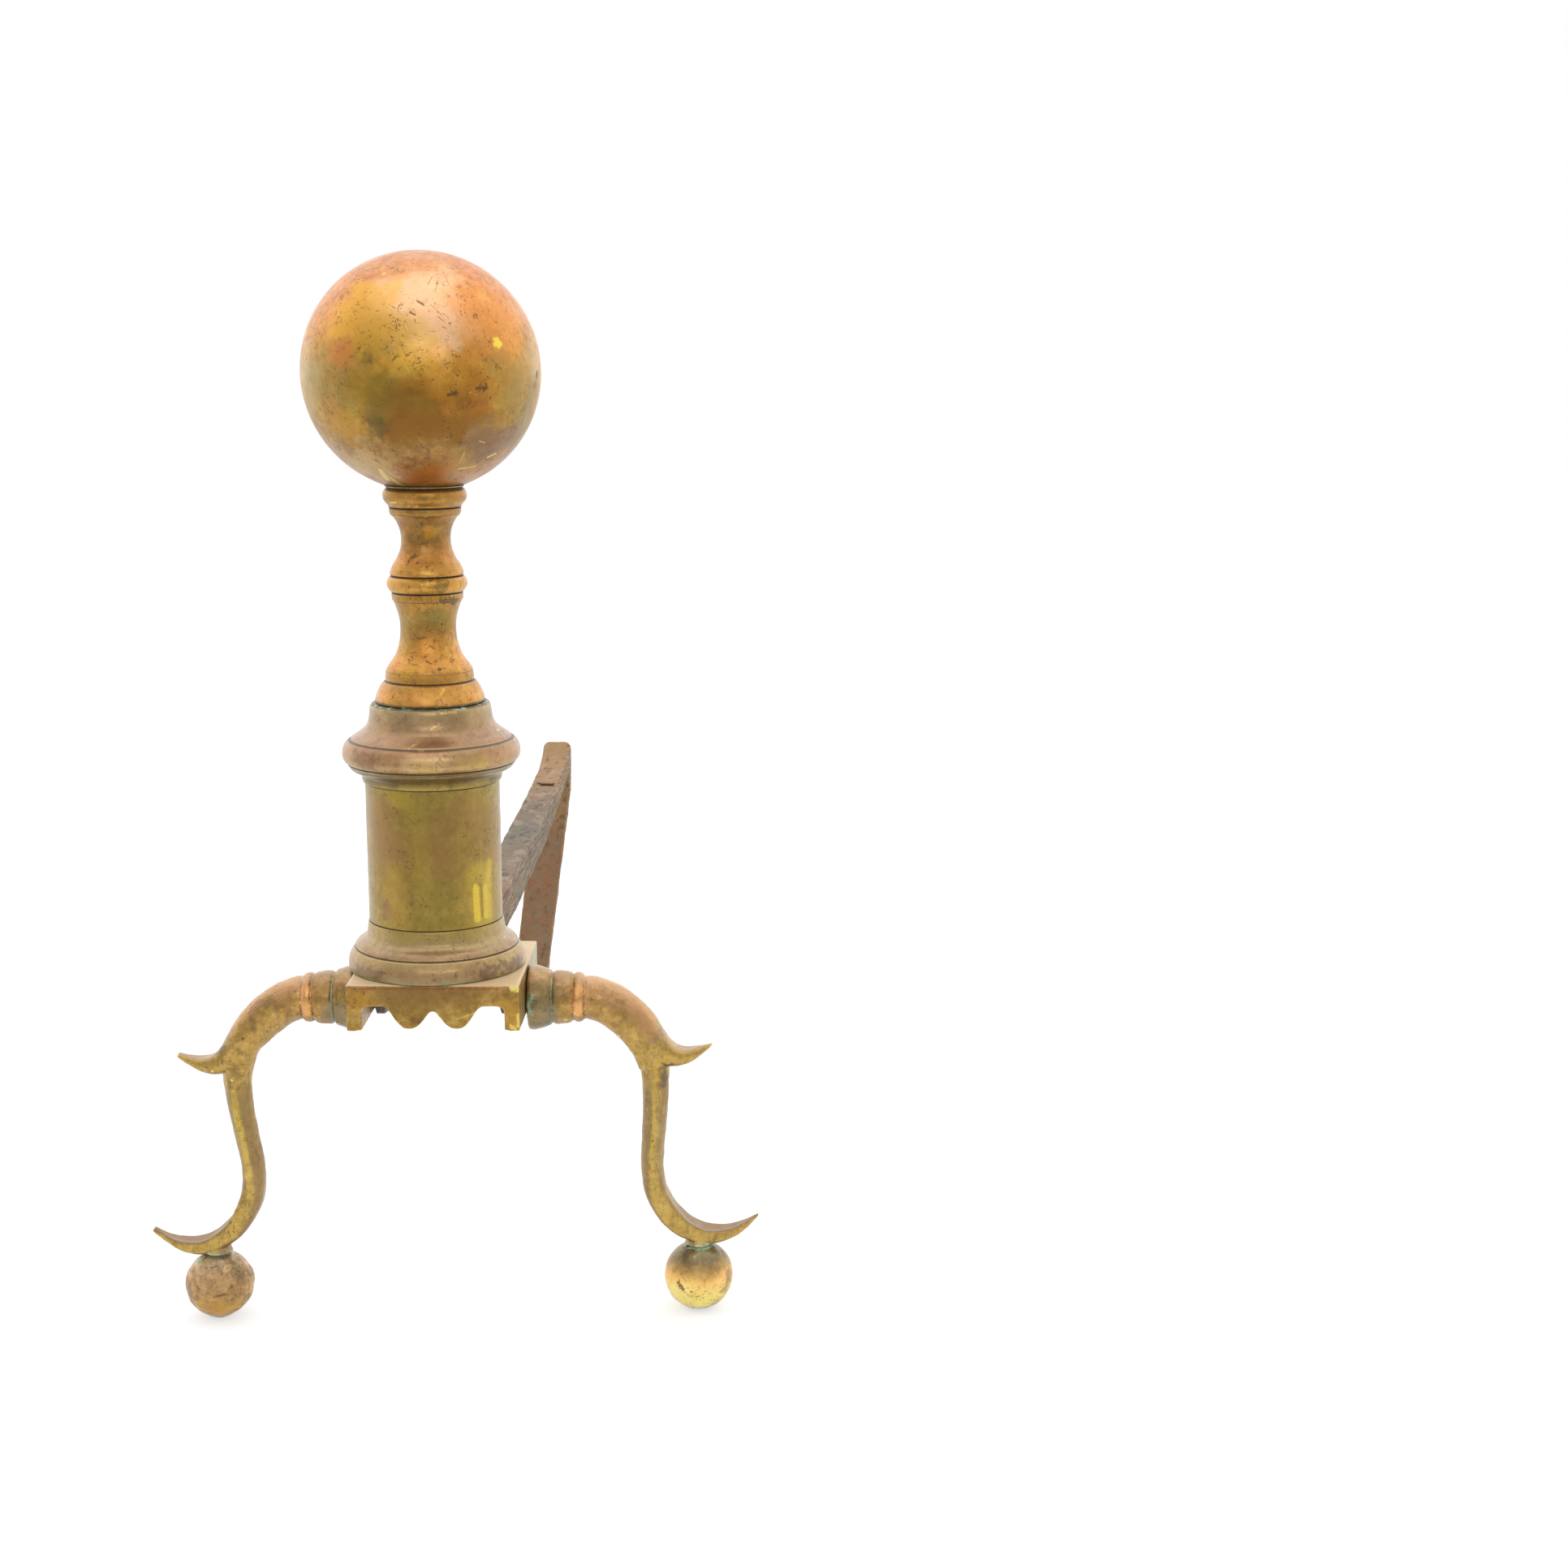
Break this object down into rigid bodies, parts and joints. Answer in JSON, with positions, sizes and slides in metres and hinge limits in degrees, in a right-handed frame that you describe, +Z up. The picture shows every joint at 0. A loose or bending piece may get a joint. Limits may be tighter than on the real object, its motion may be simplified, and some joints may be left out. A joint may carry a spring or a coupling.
{
  "type": "andiron",
  "caption": "Hearth andiron: turned brass column with a ball finial on an apron plinth with cabriole legs, and an iron billet bar behind that holds logs off the hearth.",
  "frame": {"origin": "middle of the footprint's bounding box, on the hearth", "axes": "+Z up; -Y towards the room, the side of the brass column; +Y into the fireplace, along the billet bar; +X to the right seen from the room"},
  "size_m": [0.2634, 0.5884, 0.4564],
  "materials": {
    "ball_brass": "orange to olive tarnish with pits and fine scratches, satin",
    "spool_brass": "orange-brown tarnish, darker in the quirks, satin",
    "moulding_brass": "dull olive-brown tarnish with pale rubbed edges",
    "tube_brass": "olive-yellow satin sheet with brown stains and a bright worn patch",
    "plinth_brass": "golden-brown casting with bright worn edges and dark seams",
    "leg_brass": "golden-olive casting, orange-brown on the arches, green verdigris in the grooves",
    "left_foot_brass": "copper-brown tarnish with scratches",
    "right_foot_brass": "dark on top, golden below, with pits",
    "hidden_brass": "unpolished casting",
    "forged_iron": "forged bar, grey and red-brown fire scale with flaking rust",
    "fixing_iron": "dark oxidised iron fixings"
  },
  "bodies": {
    "root": {"ball_upper_half": "ball_brass", "ball_lower_half": "ball_brass", "ball_bush": "hidden_brass", "finial_collar": "spool_brass", "upper_spool": "spool_brass", "middle_ring": "spool_brass", "lower_spool": "spool_brass", "column_cap": "moulding_brass", "column_tube": "tube_brass", "column_base": "moulding_brass", "plinth": "plinth_brass", "left_leg": "leg_brass", "left_leg_nut": "fixing_iron", "left_foot_ball": "left_foot_brass", "left_foot_pin": "fixing_iron", "right_leg": "leg_brass", "right_leg_nut": "fixing_iron", "right_foot_ball": "right_foot_brass", "right_foot_pin": "fixing_iron", "billet_bar": "forged_iron", "tie_rod": "fixing_iron", "tie_rod_nut": "fixing_iron", "tie_rod_washer": "fixing_iron"}
  },
  "joints": []
}
